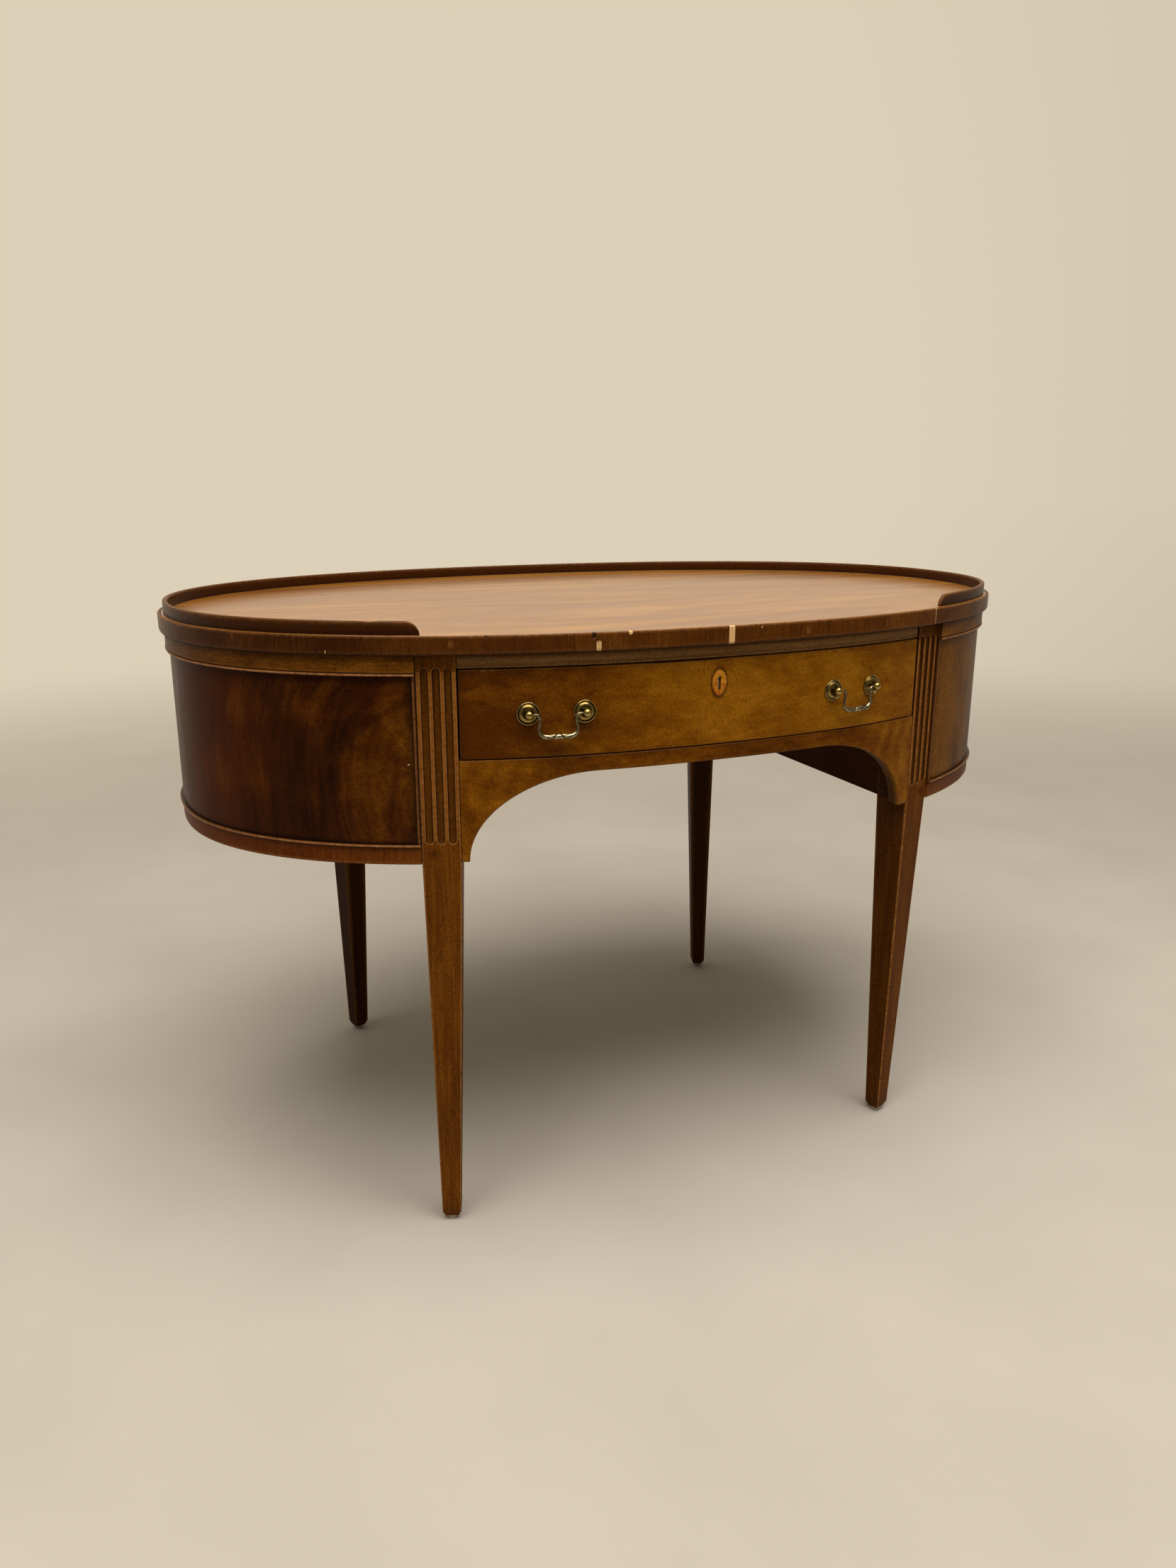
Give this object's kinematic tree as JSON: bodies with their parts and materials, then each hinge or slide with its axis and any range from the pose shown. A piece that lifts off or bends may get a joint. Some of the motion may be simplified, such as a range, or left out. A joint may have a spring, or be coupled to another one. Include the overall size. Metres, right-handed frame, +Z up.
{
  "type": "oval writing desk",
  "caption": "Oval mahogany writing desk with a low gallery, bowed closed ends, fluted tapering legs and a bow-fronted drawer with swan-neck bail handles over an arched kneehole.",
  "frame": {"origin": "on the floor, under the middle of the oval top", "axes": "+X along the desk's length to the sitter's right, +Y from the drawer towards the back, +Z up"},
  "size_m": [1.176, 0.732, 0.75],
  "materials": {
    "polished_top": "polished, honey brown",
    "crossband": "satin polish, cross grain",
    "solid_mahogany": "satin polish, worn arrises",
    "figured_veneer": "polished, dark red brown",
    "drawer_mahogany": "polished, amber brown",
    "worn_bead": "worn polish",
    "carcass_wood": "unpolished, dark stained",
    "drawer_lining": "bare oak",
    "antique_brass": "antique, polished on the high points",
    "dull_steel": "dull",
    "boxwood": "waxed, worn"
  },
  "bodies": {
    "carcass": {"top_board": "polished_top", "top_edge_band": "crossband", "gallery": "crossband", "leg_front_left": "solid_mahogany", "leg_front_right": "solid_mahogany", "leg_back_left": "solid_mahogany", "leg_back_right": "solid_mahogany", "end_frieze_left": "solid_mahogany", "end_frieze_right": "solid_mahogany", "end_base_left": "solid_mahogany", "end_base_right": "solid_mahogany", "front_rail": "solid_mahogany", "end_panel_left": "figured_veneer", "end_panel_right": "figured_veneer", "back_panel": "figured_veneer", "front_apron": "drawer_mahogany", "back_apron": "drawer_mahogany", "frieze_bead_left": "worn_bead", "frieze_bead_right": "worn_bead", "base_bead_left": "worn_bead", "base_bead_right": "worn_bead", "side_bead_a_left": "worn_bead", "side_bead_a_right": "worn_bead", "side_bead_b_left": "worn_bead", "side_bead_b_right": "worn_bead", "kneehole_side_left": "carcass_wood", "kneehole_side_right": "carcass_wood", "casing_floor_left": "carcass_wood", "casing_floor_right": "carcass_wood", "drawer_runner_left": "carcass_wood", "drawer_runner_right": "carcass_wood", "drawer_kicker_left": "carcass_wood", "drawer_kicker_right": "carcass_wood", "glide_front_left": "dull_steel", "glide_front_right": "dull_steel", "glide_back_left": "dull_steel", "glide_back_right": "dull_steel"},
    "drawer": {"drawer_front": "drawer_mahogany", "drawer_side_left": "drawer_lining", "drawer_side_right": "drawer_lining", "drawer_back": "drawer_lining", "drawer_bottom": "drawer_lining", "escutcheon": "boxwood", "lock_case": "dull_steel", "rosette_left_outer": "antique_brass", "rosette_left_inner": "antique_brass", "rosette_right_outer": "antique_brass", "rosette_right_inner": "antique_brass", "handle_post_left_outer": "antique_brass", "handle_post_left_inner": "antique_brass", "handle_post_right_outer": "antique_brass", "handle_post_right_inner": "antique_brass", "handle_nut_left_outer": "antique_brass", "handle_nut_left_inner": "antique_brass", "handle_nut_right_outer": "antique_brass", "handle_nut_right_inner": "antique_brass"},
    "bail_left": {"bail_left": "antique_brass"},
    "bail_right": {"bail_right": "antique_brass"},
    "lock_bolt": {"lock_bolt": "antique_brass"}
  },
  "joints": [
    {"name": "drawer_slide", "type": "slide", "parent": "carcass", "child": "drawer", "axis": [0, -1, 0], "range_m": [0, 0.3]},
    {"name": "bail_left_swing", "type": "hinge", "parent": "drawer", "child": "bail_left", "pos_m": [-0.20273, -0.34741, 0.64675], "axis": [-0.9848, 0.1738, 0], "range_deg": [-13, 188]},
    {"name": "bail_right_swing", "type": "hinge", "parent": "drawer", "child": "bail_right", "pos_m": [0.18959, -0.34964, 0.64675], "axis": [-0.9873, -0.1591, 0], "range_deg": [-13, 188]},
    {"name": "lock_bolt_slide", "type": "slide", "parent": "drawer", "child": "lock_bolt", "axis": [0, 0, 1], "range_m": [0, 0.008]}
  ]
}
